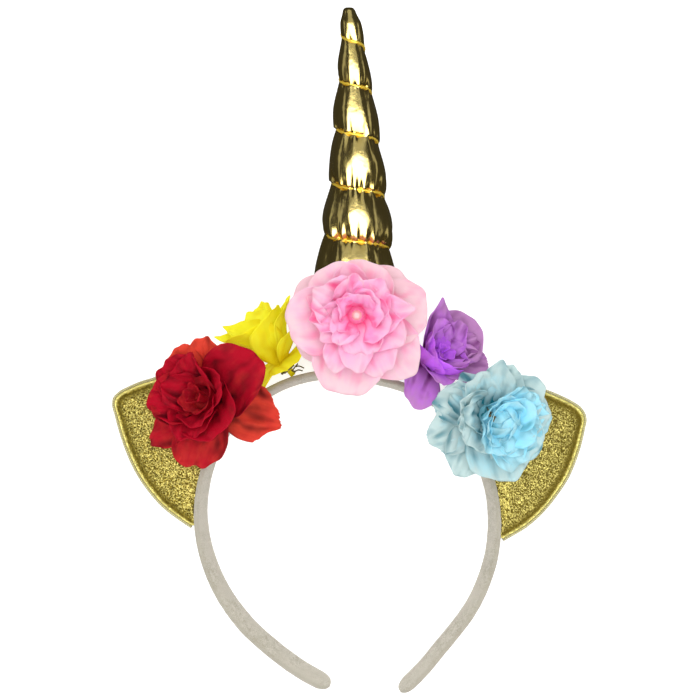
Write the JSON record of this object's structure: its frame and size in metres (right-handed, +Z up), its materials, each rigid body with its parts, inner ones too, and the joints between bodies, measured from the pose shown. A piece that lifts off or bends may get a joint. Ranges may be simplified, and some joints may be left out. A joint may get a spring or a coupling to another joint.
{
  "type": "unicorn horn headband",
  "caption": "Open head hoop in velvety cloth with a stuffed spiral gold horn, padded glitter ears and a row of cloth flowers.",
  "frame": {"origin": "on the table under the middle of the box round the headband, which lies on its back", "axes": "+Y towards the horn's tip, +Z up towards the flowers, +X to the side of the blue flower"},
  "size_m": [0.2086, 0.2955, 0.0641],
  "materials": {
    "covered_band": "thin plastic hoop covered with pale warm grey velvety cloth",
    "gold_foil": "mirror-bright gold foil cloth over stuffing",
    "gold_glitter": "gold glitter cloth over padding",
    "gold_edging": "pale gold thread, close stitched",
    "pink_cloth": "thin starched cloth, slightly see-through petals",
    "rhinestone": "clear faceted acrylic stone",
    "red_satin": "satin cloth",
    "yellow_cloth": "thin starched cloth",
    "purple_cloth": "thin starched cloth",
    "blue_cloth": "thin starched cloth"
  },
  "bodies": {
    "root": {"band": "covered_band", "horn": "gold_foil", "left_ear": "gold_glitter", "right_ear": "gold_glitter", "left_ear_edge": "gold_edging", "right_ear_edge": "gold_edging", "pink_flower": "pink_cloth", "pink_flower_gem": "rhinestone", "red_flower": "red_satin", "yellow_flower": "yellow_cloth", "purple_flower": "purple_cloth", "blue_flower": "blue_cloth"}
  },
  "joints": []
}
